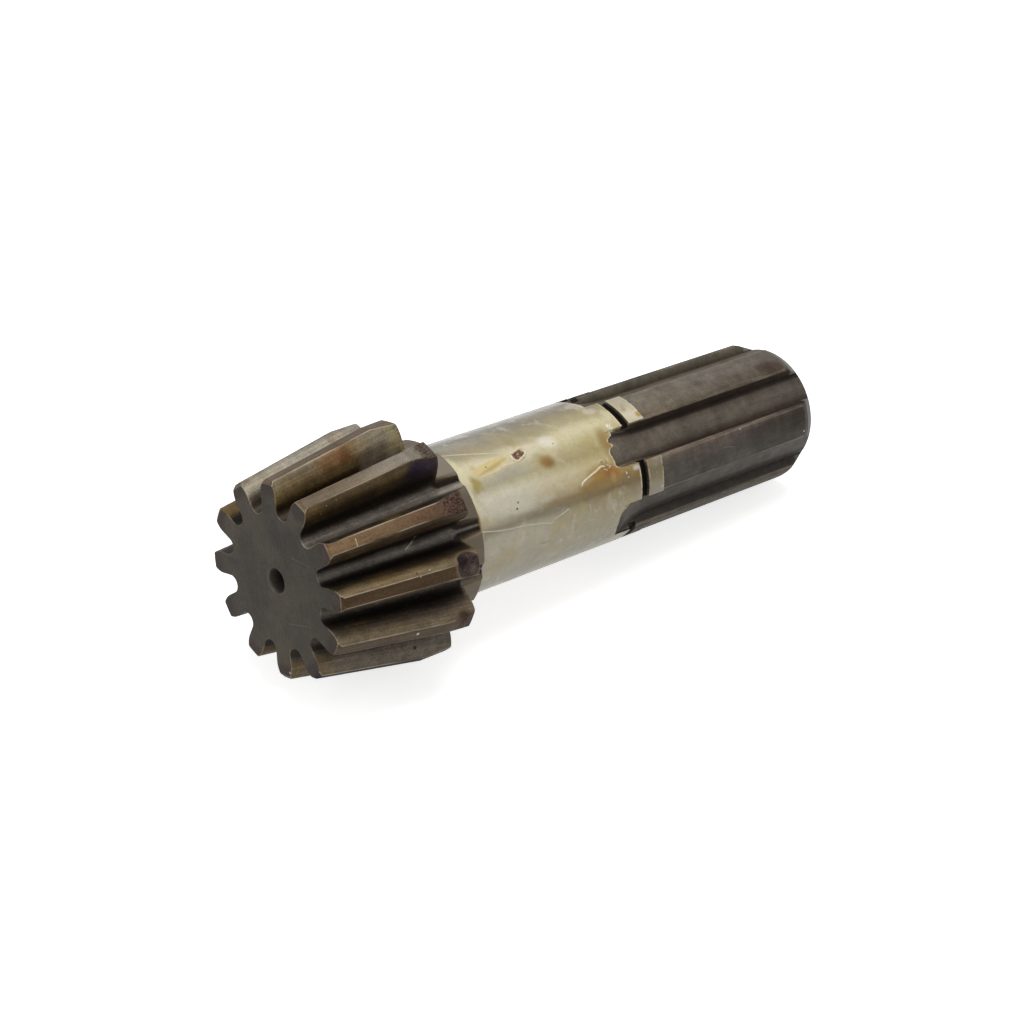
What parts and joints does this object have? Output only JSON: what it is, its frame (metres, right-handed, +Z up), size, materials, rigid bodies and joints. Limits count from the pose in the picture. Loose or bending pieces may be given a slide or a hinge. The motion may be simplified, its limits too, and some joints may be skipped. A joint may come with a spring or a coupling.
{
  "type": "splined bevel pinion shaft",
  "caption": "One-piece steel shaft with a straight bevel pinion at one end, a waxed ground journal and a parallel-sided spline.",
  "frame": {"origin": "centre of the bottom of the bounding box, on the surface that the shaft lies on", "axes": "+X along the shaft as it lies, towards the splined end; the shaft's own axis leans 4.49 degrees down towards that end; +Z up"},
  "size_m": [0.1576, 0.053, 0.0532],
  "materials": {
    "machined_steel": "dark heat-treated steel with oil film; ground journal under pale yellow wax"
  },
  "bodies": {
    "root": {"pinion_shaft": "machined_steel"}
  },
  "joints": []
}
